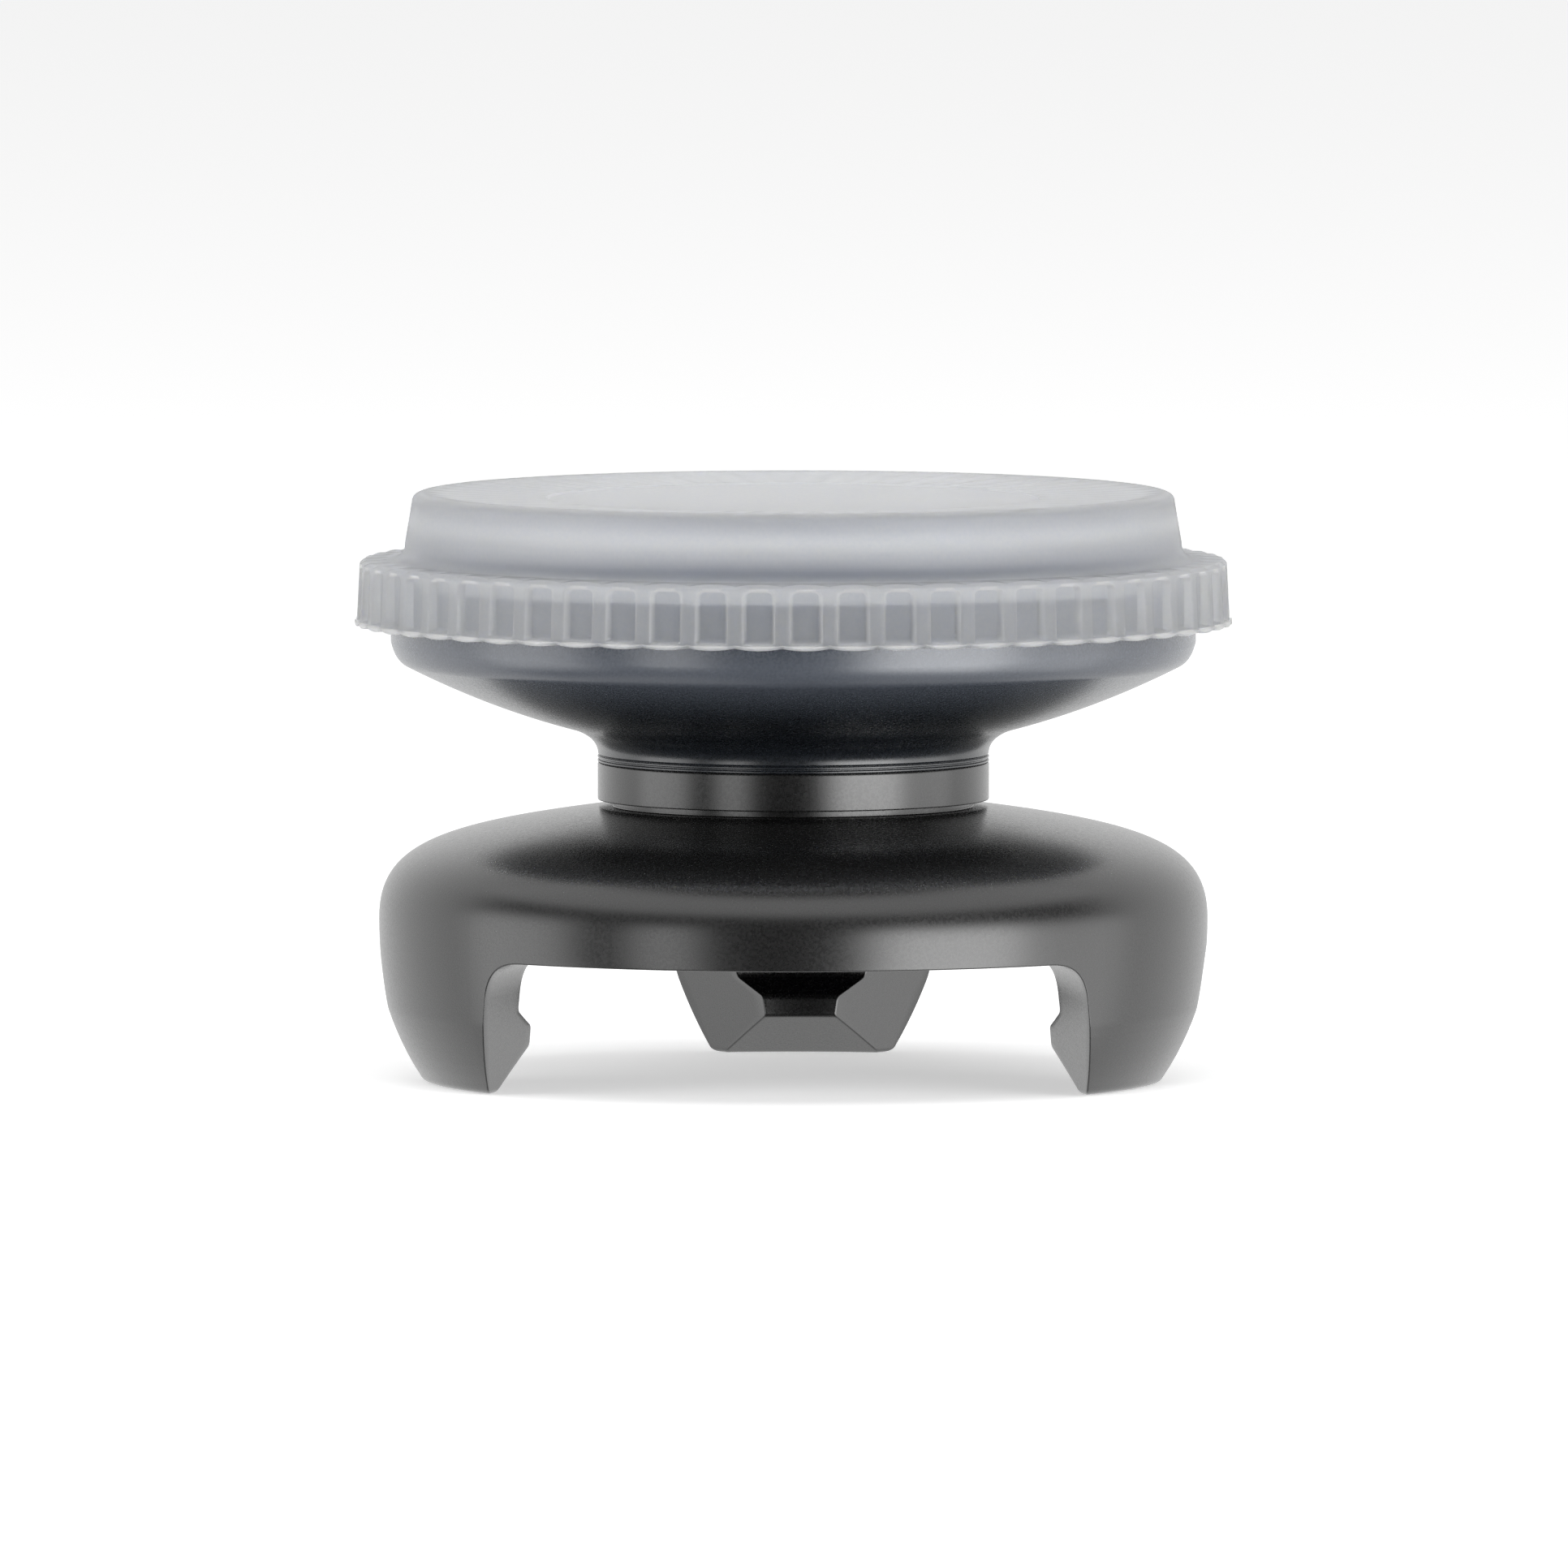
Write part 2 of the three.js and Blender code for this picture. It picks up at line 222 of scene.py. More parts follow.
def makeClipBase():
    # Every column is one cut through the wall, from the seat round the prong or the window's
    # edge and up over the dome. Its lower end follows the outline of the windows, and its
    # angle follows the splayed cut at each radius.
    c = clip
    taper = (c["knee"][0] - c["footOutside"]) / c["knee"][1]
    inner = roundedPath([(c["cavity"], c["cavityFoot"], 0), (c["cavity"], c["ledgeTop"], c["ledgeRound"]),
                         (c["hook"], c["ledge"], c["hookRound"]), (c["hook"], c["leadIn"], c["hookRound"]),
                         (c["footInside"], 0, 0)], 5)
    foot = [(c["footOutside"] - c["footRound"], 0, 0)]
    footTop = (c["footOutside"] + c["footRound"] * taper, c["footRound"])
    foot += quadratic(foot[0][:2], (c["footOutside"], 0), footTop, 5)
    middle = ((c["footOutside"] + c["knee"][0]) / 2 + c["footBulge"], c["knee"][1] / 2)
    foot += quadratic(foot[-1][:2], middle, c["knee"], 6)
    foot += quadratic(c["knee"], (c["equator"][0], (c["knee"][1] + c["equator"][1]) / 2), c["equator"], 10)
    outer = np.array(foot)
    outer[np.argmin(abs(outer[:, 1] - c["knee"][1])), 2] = c["kneeRound"]
    outer = roundedPath(outer, 4)
    top, e = c["windowTop"], c["edge"]
    levels = np.unique(np.round(np.concatenate([inner[:, 1], outer[:, 1], c["extraLevels"]]), 3))
    levels = levels[(levels > 0.02) & (levels < top - 0.02)][::-1]
    keep = np.concatenate([[True], -np.diff(levels) > 0.012])
    levels = levels[keep]

    def innerRadius(z):
        return np.interp(z, inner[::-1, 1], inner[::-1, 0])

    def outerRadius(z):
        return np.interp(z, outer[:, 1], outer[:, 0])

    # The columns: each window's outline from one foot to the other, then the prong beside it.
    # side is -1 or 1 for a window's left or right half, share is -1 on a window, and on the
    # prong after window i it runs from i to i + 1.
    columns = []
    count = len(c["windows"])
    for i, (azimuth, halfWidth) in enumerate(c["windows"]):
        right = windowSide(halfWidth, levels)
        left = right[:, :0:-1] * np.array([[1], [1], [-1], [1]])
        sign = np.concatenate([-np.ones(left.shape[1]), np.ones(right.shape[1])])
        columns.append([*np.concatenate([left, right], 1), sign, sign * 0 + azimuth, sign * 0 - 1])
        t = np.linspace(0, 1, c["prongColumns"] + 2)[1:-1]
        columns.append([t * 0 + right[0, -1], t * 0, t * 0, t * 0 + 1, t * 0 + 1, t * 0 + azimuth, t + i])
    x, z, nx, nz, side, turn, share = np.concatenate(columns, 1)

    def angleAt(radius):
        # radius: rows by columns
        angle = np.empty_like(radius)
        for i, (azimuth, halfWidth) in enumerate(c["windows"]):
            own = (share < 0) & (turn == azimuth)
            angle[:, own] = np.radians(azimuth) + side[own] * cutAngle(x[own], halfWidth, radius[:, own])
            prong = (share >= i) & (share < i + 1)
            t = share[prong] - i
            nextAzimuth, nextHalf = c["windows"][(i + 1) % count]
            nextAzimuth = nextAzimuth + (360 if i + 1 == count else 0)
            xNext = windowSide(nextHalf, levels)[0, -1]
            r = radius[:, prong]
            start = np.radians(azimuth) + cutAngle(x[prong], halfWidth, r)
            end = np.radians(nextAzimuth) - cutAngle(xNext * np.ones_like(t), nextHalf, r)
            angle[:, prong] = start * (1 - t) + end * t
        return angle

    ones = np.ones_like(x)
    radius, height, angle = [], [], []

    def add(r, h, at, push):
        # a row: radius, height, radius at which the angle is taken, and shift into the plastic
        radius.append(r * ones)
        height.append(h * ones)
        angle.append(angleAt((at * ones)[None])[0] + push * nx / (at * ones))

    filletStart = (c["cavity"] - c["ceilingFillet"], c["ceiling"])
    filletEnd = (c["cavity"], c["ceiling"] - c["ceilingFillet"])
    seatR, seatZ = c["seat"]
    upperInner = roundedPath(
        [(0, seatZ, 0), (seatR, seatZ, e), (seatR, c["ceiling"], e), (*filletStart, 0)]
        + quadratic(filletStart, (c["cavity"], c["ceiling"]), filletEnd, 7)
        + [(c["cavity"], c["cavityFoot"], 0), (c["cavity"], c["cavityFoot"] - 0.3, 0)])
    for r, h in upperInner:
        add(r, h, c["cavity"], e)
    for level in levels:
        h = np.maximum(level, z + nz * e)
        r = innerRadius(h)
        add(r, h, r, e)
    bend = np.linspace(0, math.pi / 2, 5)
    for a in bend:
        h = z + nz * e * (1 - math.sin(a))
        r = innerRadius(h) + e * (1 - math.cos(a))
        add(r, h, r, e * (1 - math.sin(a)))
    low, high = innerRadius(z) + e, outerRadius(z) - e
    for f in np.linspace(0, 1, 10)[1:-1]:
        r = low * (1 - f) + high * f
        add(r, z, r, 0)
    for a in bend[::-1]:
        h = z + nz * e * (1 - math.sin(a))
        r = outerRadius(h) - e * (1 - math.cos(a))
        add(r, h, r, e * (1 - math.sin(a)))
    for level in levels[::-1]:
        h = np.maximum(level, z + nz * e)
        r = outerRadius(h)
        add(r, h, r, e)
    g = c["dome"][0] - c["grooveDepth"]
    small, big = c["grooveRound"], c["collarRound"]
    upperOuter = roundedPath(
        [(outerRadius(3.6), 3.6, 0), (outerRadius(3.8), 3.8, 0), (*c["equator"], 0)]
        + bezier(c["equator"], (c["equator"][0], c["equator"][1] + c["shoulder"]),
                 (c["dome"][0] + c["crownReach"], c["dome"][1] - c["crownFall"]), c["dome"], 34)[:-1]
        + [(*c["dome"], small), (g, c["dome"][1], small), (g, c["collarBottom"], small),
           (c["dome"][0], c["collarBottom"], small), (c["dome"][0], c["collarTop"], big),
           (c["socket"][0], c["collarTop"], big), (*c["socket"], big), (0, c["socket"][1], 0)], 4)
    for r, h in upperOuter:
        add(r, h, max(r, c["domeAngleAt"]), e)
    return gridPiece("clipBaseMoulding", np.array(radius), np.array(height), np.array(angle))


clipBase = makeClipBase()

stand = {
    "stem": (2.98, 6.4), "stemChamfer": 0.25, "seam": 7.99, "collar": 4.92,
    "neck": (5.6, 8.85), "cone": (9.75, 10.44), "bow": 0.17,
    "flange": (10.12, 11.03), "top": 12.59, "topChamfer": 0.2,
    "seamGap": 0.005, "ringStart": 0.01, "ringPitch": 0.1, "ringIn": 0.05, "ringRound": 0.012,
    "neckPull": (0.58, 0.34, 0.2),  # shares of the neck's rise and flare that shape its curve
    "flangePull": (0.1, 0.13),
}


def makePedestal():
    s = stand
    rise, flare = s["neck"][1] - s["seam"], s["neck"][0] - s["collar"]
    run = s["cone"][0] - s["neck"][0]
    slope = (s["cone"][1] - s["neck"][1]) / run
    stemR, stemZ = s["stem"]
    collar, seamTop, inset = s["collar"], s["seam"] + s["seamGap"], s["collar"] - s["ringIn"]
    path = [(0, stemZ, 0), (stemR - s["stemChamfer"], stemZ, 0.03), (stemR, stemZ + s["stemChamfer"], 0.03),
            (stemR, seamTop, 0.03), (inset, seamTop, 0)]
    for step in range(2):  # two fine rings stand over the seam
        foot = s["seam"] + s["ringStart"] + step * s["ringPitch"]
        path += [(inset, foot, 0.01), (collar, foot + s["ringRound"], s["ringRound"]),
                 (collar, foot + s["ringPitch"] - 0.045, s["ringRound"]),
                 (inset, foot + s["ringPitch"] - 0.03, 0.01)]
    top = s["seam"] + 2 * s["ringStart"] + 2 * s["ringPitch"]
    neckStart = (collar - 0.01, top)
    path += [(*neckStart, 0.01)]
    up, out, down = s["neckPull"]
    path += bezier(neckStart, (collar, s["seam"] + rise * up),
                   (collar + flare * out, s["neck"][1] - flare * down), s["neck"], 16)
    path += bezier(s["neck"], (s["neck"][0] + run / 3, s["neck"][1] + run / 3 * slope - s["bow"]),
                   (s["cone"][0] - run / 3, s["cone"][1] - run / 3 * slope - s["bow"]), s["cone"], 18)[:-1]
    path += [(*s["cone"], 0.04)]
    pullIn, pullUp = s["flangePull"]
    path += quadratic(s["cone"], (s["flange"][0] - pullIn, s["cone"][1] + pullUp), s["flange"], 12)
    path += [(s["flange"][0], s["top"] - s["topChamfer"], 0.06),
             (s["flange"][0] - s["topChamfer"], s["top"], 0.06), (0, s["top"], 0)]
    return revolved("pedestalMoulding", roundedPath(path, 4), 288)


pedestal = makePedestal()

cap = {
    "underside": 12.6, "bore": 10.25, "bottom": 11.46, "lip": 11.03, "lipHeight": 0.11,
    "ringTop": 10.9, "ringFoot": 10.97, "shelf": 13.1, "ringEdge": 0.1,
    "ribs": 58, "recessHalf": 0.4, "recessFloor": 10.73, "recessBottom": 11.62, "recessTop": 12.95,
    "recessCorner": 0.18, "wallRun": 0.045,
    "pad": 9.76, "padFillet": 0.42, "rim": (9.59, 14.78), "rimRound": 0.36, "rimWidth": 0.5,
    "dish": (6.2, 14.65), "dishStep": 0.05, "dishDepth": 0.3,
    "lobe": 0.055,  # the ring's two edges swell by this over each recess
    "flute": 0.035,  # depth of the fine radial flutes on the band round the dish
    "ringLevels": [11.75, 12.0, 12.3, 12.55],  # further rows on the recesses' straight part
    "undersideRow": 8.5, "ringInner": 10.3, "wallInner": 9, "bandAbove": 14.6,
    "lobePower": 0.8, "lipLobe": 1.2,  # the lobe's form, and how much larger it is on the lip
    # How far each column is cut back to the recess's floor and how strongly painted light
    # lightens its outline, from the middle of a recess to the middle of a rib
    "cutBack": [1, 1, 1, 1, 0.1, 0, 0, 0], "outline": [0, 0, 0.05, 0.4, 0.5, 0.2, 0.1, 0.12],
    # How strongly painted light (a painted glow) lightens the arcs over the recesses, the lip
    # (everywhere, and added over a recess) and the rim
    "arcGlow": 0.8, "lipGlow": (0.35, 0.65), "rimGlow": 0.25, "rimGlowHalf": 0.16,
    # Milkiness of the pad's top, of a band round its wall (level, height, half height) and
    # of the ring
    "padMilk": 0.7, "padMilkAbove": 13.4, "wallMilk": (0.45, 14.1, 0.3), "ringMilk": 0.2,
    # How strongly painted shade darkens the colour, for the dark pedestal seen through the cap:
    # at the pad's foot (its top, its height, its power), in the ring as a share of that, and under the rim
    # (level, start, run)
    "footPaintedShade": (13.8, 0.5, 1.5), "ringPaintedShade": 0.13, "rimPaintedShade": (0.3, 14.1, 0.4),
}


def capProfile(c):
    # The profile from the middle of the underside round the ring and over the pad
    lipTop = c["bottom"] + c["lipHeight"]
    shelfEdge = c["shelf"] - c["ringEdge"]
    bendStart, floorTop = c["recessTop"] - c["recessCorner"], c["recessTop"] - c["wallRun"]
    ring = [lipTop + 0.02, c["recessBottom"] - 0.02, c["recessBottom"], c["recessBottom"] + c["wallRun"]]
    ring += c["ringLevels"]
    ring += list(bendStart + (floorTop - bendStart) * np.sin(np.linspace(0, math.pi / 2, 7)))
    ring += [c["recessTop"], c["recessTop"] + 0.02]
    ringRows = [(np.interp(h, [lipTop, shelfEdge], [c["ringFoot"], c["ringTop"]]), h, 0) for h in ring]
    lower = [(0, c["underside"], 0), (c["undersideRow"], c["underside"], 0),
             (c["bore"], c["underside"], 0.06), (c["bore"], c["bottom"], 0.04),
             (c["lip"], c["bottom"], 0.028), (c["lip"], c["bottom"] + c["lipHeight"] / 2, 0.02),
             (c["ringFoot"], lipTop, 0.02)]
    rimR, rimZ = c["rim"]
    footR, footZ = c["pad"] + c["padFillet"], c["shelf"] + c["padFillet"]
    upper = [(c["ringTop"], shelfEdge, 0.03), (c["ringTop"] - c["ringEdge"], c["shelf"], 0.05),
             (footR + 0.1, c["shelf"], 0), (footR, c["shelf"], 0)]
    upper += quadratic((footR, c["shelf"]), (c["pad"], c["shelf"]), (c["pad"], footZ), 8)
    a, b = np.array([c["pad"], footZ]), np.array([rimR, rimZ - c["rimRound"] * 0.7])
    upper += [(x, y, 0) for x, y in a + (b - a) * np.linspace(0, 1, 7)[1:, None]]
    upper += quadratic(b, (rimR, rimZ), (rimR - c["rimRound"], rimZ), 8)
    inside = (rimR - c["rimWidth"], rimZ - 0.013)
    upper += [(*inside, 0)]
    a, b = np.array(inside), np.array(c["dish"])
    upper += [(x, y, 0) for x, y in a + (b - a) * np.linspace(0, 1, 9)[1:-1, None]]
    stepR, stepZ = c["dish"][0] - c["dishStep"], c["dish"][1] - c["dishStep"]
    upper += [(*c["dish"], 0.02), (stepR, stepZ, 0.02)]
    low = stepZ - c["dishDepth"]
    upper += quadratic((stepR, stepZ), (c["dish"][0] / 2, low), (0, low), 12)
    return roundedPath(lower + ringRows + upper, 4)


def capLayers(c, r, h, swell, shine, deep, topArc):
    # The three values that the material reads: painted light on the edges, milkiness, and
    # painted shade for the dark pedestal behind the cap
    rimR, rimZ = c["rim"]
    onLip = (h < c["bottom"] + c["lipHeight"] + 0.03) & (r > c["bore"] + 0.3)
    lip = np.where(onLip, 1, 0) * (c["lipGlow"][0] + c["lipGlow"][1] * swell)
    # painted light: the glow paints highlights onto the recesses' outlines, the arcs over them, the lip's
    # scallops and the rim
    glow = np.maximum(np.maximum(shine * np.clip(deep * 1.2, 0, 1), c["arcGlow"] * topArc), lip)
    rim = np.exp(-((r - (rimR - 0.2)) / c["rimGlowHalf"]) ** 2) * np.where(h > rimZ - 0.3, 1, 0)
    glow = np.maximum(glow, c["rimGlow"] * rim)

    onPad = np.clip((c["pad"] - 0.35 - r) / 0.5, 0, 1) * np.where(h > c["padMilkAbove"], 1, 0)
    milk = c["padMilk"] * onPad
    level, middle, half = c["wallMilk"]
    onWall = np.where((r > c["wallInner"]) & (r < c["pad"] + 0.1), 1, 0)
    milk = np.maximum(milk, level * np.exp(-((h - middle) / half) ** 2) * onWall)
    milk = np.maximum(milk, np.where(r > c["ringInner"], c["ringMilk"], 0))

    # painted shade: darker towards the pad's foot, a share of that in the ring, and a band under the rim
    top, run, power = c["footPaintedShade"]
    share = np.where(r < c["pad"] + c["padFillet"] + 0.1, 1, c["ringPaintedShade"])
    paintedBackShade = np.clip((top - h) / run, 0, 1) ** power * share
    level, start, run = c["rimPaintedShade"]
    underRim = np.clip((h - start) / run, 0, 1) * np.where(r > c["pad"] - 0.35, 1, 0)
    paintedBackShade = np.maximum(paintedBackShade, level * underRim)
    return {"edgeGlow": glow, "milk": milk, "paintedBackShade": paintedBackShade}


def makeCap():
    # The profile carried round the axis. In each of the ribs' pitches the columns stand at
    # fractions of the recess's half width, which follows its round upper corners, and the
    # wall is set back to the recess's flat floor between them.
    c = cap
    pitch = 2 * math.pi * c["ringTop"] / c["ribs"]
    path = capProfile(c)
    r, h = path[:, :1], path[:, 1:]
    bendStart, floorTop = c["recessTop"] - c["recessCorner"], c["recessTop"] - c["wallRun"]
    shelfEdge = c["shelf"] - c["ringEdge"]
    onRing = (h > c["bottom"] + c["lipHeight"]) & (h < shelfEdge + 0.001) & (r > c["ringTop"] - 0.02)
    marks = [c["recessBottom"] - 0.02, c["recessBottom"], c["recessBottom"] + c["wallRun"], floorTop,
             c["recessTop"], c["recessTop"] + 0.02]
    deep = np.where(onRing, np.interp(h, marks, [0, 0.12, 1, 1, 0.12, 0]), 0)

    def halfWidth(inset):
        # the recess's half width at each height: full below its corners, then on their arc
        corner = c["recessCorner"] - inset
        up = np.clip(np.where(onRing, h, bendStart) - bendStart, 0, corner)
        return c["recessHalf"] - inset - corner + np.sqrt(np.maximum(corner ** 2 - up ** 2, 0))

    def mirrored(values):
        # from rib to rib across a recess, the second rib's middle once
        return values[-2:0:-1] + values

    edge, floor = halfWidth(0), np.minimum(halfWidth(c["wallRun"]), halfWidth(0) - 0.012)
    rib = pitch / 2
    outside = edge + 0.03
    steps = [np.zeros_like(edge), floor * 0.5, floor - 0.05, floor, edge, outside, (outside + rib) / 2]
    leftSteps, rightSteps = -np.concatenate(steps[:0:-1], 1), np.concatenate(steps, 1)
    u = np.tile(np.concatenate([leftSteps, rightSteps, rib * np.ones_like(edge)], 1), (1, c["ribs"]))
    cut = np.tile(np.array(mirrored(c["cutBack"]))[None], (1, c["ribs"]))
    shine = np.tile(np.array(mirrored(c["outline"]))[None], (1, c["ribs"]))
    number = np.repeat(np.arange(c["ribs"]), cut.shape[1] // c["ribs"])[None]
    centre = (number + 0.5) / c["ribs"] * 2 * math.pi
    angle = centre + u / c["ringTop"]
    flatFloor = c["recessFloor"] / np.cos(angle - centre)
    radius = r - np.maximum(r - flatFloor, 0) * cut * deep

    # The lip and the ring's top rise and fall by the lobe, as a power of the cosine across
    # each pitch; the band round the dish sinks by the flute, as a plain cosine
    swell = np.abs(np.cos(math.pi * u / pitch)) ** c["lobePower"]
    onLip = np.where((r > c["bore"] + 0.02) & (h < c["bottom"] + c["lipHeight"] * 0.8), 1, 0)
    onLip = onLip * np.clip((r - c["bore"]) / 0.5, 0, 1)
    onTop = np.where(r > c["pad"] + c["padFillet"], 1, 0) * np.clip((h - c["recessTop"] - 0.03) / 0.1, 0, 1)
    onTop = onTop * np.clip((r - c["ringInner"]) / 0.4, 0, 1)
    height = h + c["lobe"] * onLip * (1 - swell) * c["lipLobe"] - c["lobe"] * onTop * (1 - swell)
    onBand = np.where(h > c["bandAbove"], 1, 0) * np.clip((r - c["dish"][0]) / 0.4, 0, 1)
    onBand = onBand * np.clip((c["rim"][0] - c["rimWidth"] - r) / 0.3, 0, 1)
    height = height - c["flute"] * onBand * (0.5 + 0.5 * np.cos(2 * math.pi * u / pitch))

    topArc = np.where(onRing & (h > floorTop - 0.005), 1, 0) * (np.abs(u) < edge + 0.02)
    layers = capLayers(c, r, h, swell, shine, deep, topArc)
    return gridPiece("gripCapMoulding", radius, height, angle, layers)


gripCap = makeCap()
print("pieces made")


def linear(text):
    # sRGB hex to linear, with full alpha
    value = [int(text[i:i + 2], 16) / 255 for i in (1, 3, 5)]
    return tuple(v / 12.92 if v <= 0.04045 else ((v + 0.055) / 1.055) ** 2.4 for v in value) + (1.0,)


def addNode(tree, kind, settings=None, **links):
    # adds a node; a setting names a property or, if there is none, an input socket
    node = tree.nodes.new(kind)
    for key, value in (settings or {}).items():
        if isinstance(key, str) and hasattr(node, key):
            setattr(node, key, value)
        else:
            node.inputs[key].default_value = value
    for key, source in links.items():
        name = int(key[1:]) if key[0] == "i" and key[1:].isdigit() else key.replace("_", " ")
        tree.links.new(source, node.inputs[name])
    return node


def newMaterial(name):
    material = bpy.data.materials.new(name)
    material.use_nodes = True
    material.node_tree.nodes.clear()
    return material, material.node_tree


def perMm(size):
    return 1000 / size  # texture scale for a feature of this many millimetres


def satinPlastic(name, dark, light, roughness, grain, paintedShadeBelow=None):
    # Moulded ABS from a finely eroded mould: dark and neutral, with a soft wide gloss that
    # sharpens towards the edges, and a fine grain that breaks the highlights up. The gloss is
    # matched to the object and is stronger than the IOR alone would give.
    material, tree = newMaterial(name)
    coord = addNode(tree, "ShaderNodeTexCoord")
    cloud = addNode(tree, "ShaderNodeTexNoise", {"Scale": perMm(3.5), "Detail": 3},
                    Vector=coord.outputs["Object"])
    speck = addNode(tree, "ShaderNodeTexNoise", {"Scale": perMm(grain), "Detail": 1, "Roughness": 0.5},
                    Vector=coord.outputs["Object"])
    mixed = addNode(tree, "ShaderNodeMath", {"operation": "MULTIPLY_ADD", 1: 0.35},
                    i0=cloud.outputs["Fac"], i2=speck.outputs["Fac"])
    tone = addNode(tree, "ShaderNodeValToRGB", i0=mixed.outputs[0])
    tone.color_ramp.elements[0].position, tone.color_ramp.elements[0].color = 0.45, linear(dark)
    tone.color_ramp.elements[1].position, tone.color_ramp.elements[1].color = 0.9, linear(light)
    colour = tone.outputs["Color"]
    if paintedShadeBelow:  # painted shade: the colour turns from dark to pale between the two heights, dark below as if in shade and pale above as if lit
        paleColour, paleFrom, paleTo = paintedShadeBelow
        axes = addNode(tree, "ShaderNodeSeparateXYZ", i0=coord.outputs["Object"])
        span = {"From Min": paleFrom * mm, "From Max": paleTo * mm, "interpolation_type": "SMOOTHSTEP"}
        share = addNode(tree, "ShaderNodeMapRange", span, Value=axes.outputs["Z"])
        paler = addNode(tree, "ShaderNodeMix", {"data_type": "RGBA", 7: linear(paleColour)},
                        i0=share.outputs["Result"], i6=colour)
        colour = paler.outputs[2]
    span = {"From Min": 0.3, "From Max": 0.7, "To Min": roughness - 0.02, "To Max": roughness + 0.03}
    rough = addNode(tree, "ShaderNodeMapRange", span, Value=speck.outputs["Fac"])
    bump = addNode(tree, "ShaderNodeBump", {"Strength": 0.09, "Distance": 0.002 * mm},
                   Height=speck.outputs["Fac"])
    shader = addNode(tree, "ShaderNodeBsdfPrincipled", {"IOR": 1.54, "Specular IOR Level": 0.75},
                     Base_Color=colour, Roughness=rough.outputs["Result"], Normal=bump.outputs["Normal"])
    addNode(tree, "ShaderNodeOutputMaterial", Surface=shader.outputs["BSDF"])
    return material


def frostedElastomer(name):
    # Moulded TPE, milky and translucent. Thin edges get painted light, a glow mixed into
    # their colour that grows with the angle of view, and painted shade darkens the lower parts
    # for the dark pedestal behind them seen through.
    material, tree = newMaterial(name)
    coord = addNode(tree, "ShaderNodeTexCoord")
    speck = addNode(tree, "ShaderNodeTexNoise", {"Scale": perMm(0.1), "Detail": 3, "Roughness": 0.65},
                    Vector=coord.outputs["Object"])
    cloud = addNode(tree, "ShaderNodeTexNoise", {"Scale": perMm(4), "Detail": 2},
                    Vector=coord.outputs["Object"])
    glow = addNode(tree, "ShaderNodeAttribute", {"attribute_name": "edgeGlow"})
    facing = addNode(tree, "ShaderNodeLayerWeight", {"Blend": 0.5})
    more = addNode(tree, "ShaderNodeMath", {"operation": "ADD", 1: 0.5}, i0=facing.outputs["Facing"])
    glow = addNode(tree, "ShaderNodeMath", {"operation": "MULTIPLY", "use_clamp": True},
                   i0=glow.outputs["Fac"], i1=more.outputs[0])
    mixed = addNode(tree, "ShaderNodeMath", {"operation": "MULTIPLY_ADD", 1: 0.4},
                    i0=cloud.outputs["Fac"], i2=speck.outputs["Fac"])
    tone = addNode(tree, "ShaderNodeValToRGB", i0=mixed.outputs[0])
    tone.color_ramp.elements[0].position, tone.color_ramp.elements[0].color = 0.45, linear("#edf0f5")
    tone.color_ramp.elements[1].position, tone.color_ramp.elements[1].color = 0.95, linear("#f7f8fa")
    # painted light: the colour is mixed towards near white by the edge glow
    colour = addNode(tree, "ShaderNodeMix", {"data_type": "RGBA", 7: linear("#fbfbfb")},
                     i0=glow.outputs[0], i6=tone.outputs["Color"])
    # painted shade for the dark pedestal seen through the cap: the colour darkens at the foot and the ring,
    # most where one looks straight in
    paintedBackShade = addNode(tree, "ShaderNodeAttribute", {"attribute_name": "paintedBackShade"})
    span = {"From Min": 0.0, "From Max": 0.8, "To Min": 0.9, "To Max": 0.0}
    straight = addNode(tree, "ShaderNodeMapRange", span, Value=facing.outputs["Facing"])
    shade = addNode(tree, "ShaderNodeMath", {"operation": "MULTIPLY"},
                    i0=paintedBackShade.outputs["Fac"], i1=straight.outputs["Result"])
    paintedShadeShare = addNode(tree, "ShaderNodeMath", {"operation": "SUBTRACT", "use_clamp": True},
                    i0=shade.outputs[0], i1=glow.outputs[0])
    # the painted shade's colour, a dark blue grey
    colour = addNode(tree, "ShaderNodeMix", {"data_type": "RGBA", 7: linear("#788194")},
                     i0=paintedShadeShare.outputs[0], i6=colour.outputs[2])
    bump = addNode(tree, "ShaderNodeBump", {"Strength": 0.25, "Distance": 0.004 * mm},
                   Height=speck.outputs["Fac"])
    milk = addNode(tree, "ShaderNodeAttribute", {"attribute_name": "milk"})
    dense = addNode(tree, "ShaderNodeMath", {"operation": "MAXIMUM"},
                    i0=glow.outputs[0], i1=milk.outputs["Fac"])
    through = addNode(tree, "ShaderNodeMapRange", {"To Min": 0.85, "To Max": 0.4}, Value=dense.outputs[0])
    look = {"IOR": 1.41, "Roughness": 0.5, "Specular IOR Level": 0.3, "Subsurface Weight": 1.0,
            "Subsurface Scale": 0.6 * mm, "Subsurface Radius": (1.0, 1.0, 1.1)}
    shader = addNode(tree, "ShaderNodeBsdfPrincipled", look, Base_Color=colour.outputs[2],
                     Transmission_Weight=through.outputs["Result"], Normal=bump.outputs["Normal"])
    addNode(tree, "ShaderNodeOutputMaterial", Surface=shader.outputs["BSDF"])
    return material


satinBlack = satinPlastic("satinBlackMouldedAbs", "#111111", "#171717", 0.27, 0.08)
# painted shade: the smoky plastic is dark up to 9.2 mm, where the cone faces down into shade, and turns pale
# by 10.9 mm for the flange
smokyBlack = satinPlastic("smokyMouldedAbs", "#191c20", "#22262c", 0.27, 0.08, paintedShadeBelow=("#50555e", 9.2, 10.9))
frosted = frostedElastomer("frostedMouldedTpe")

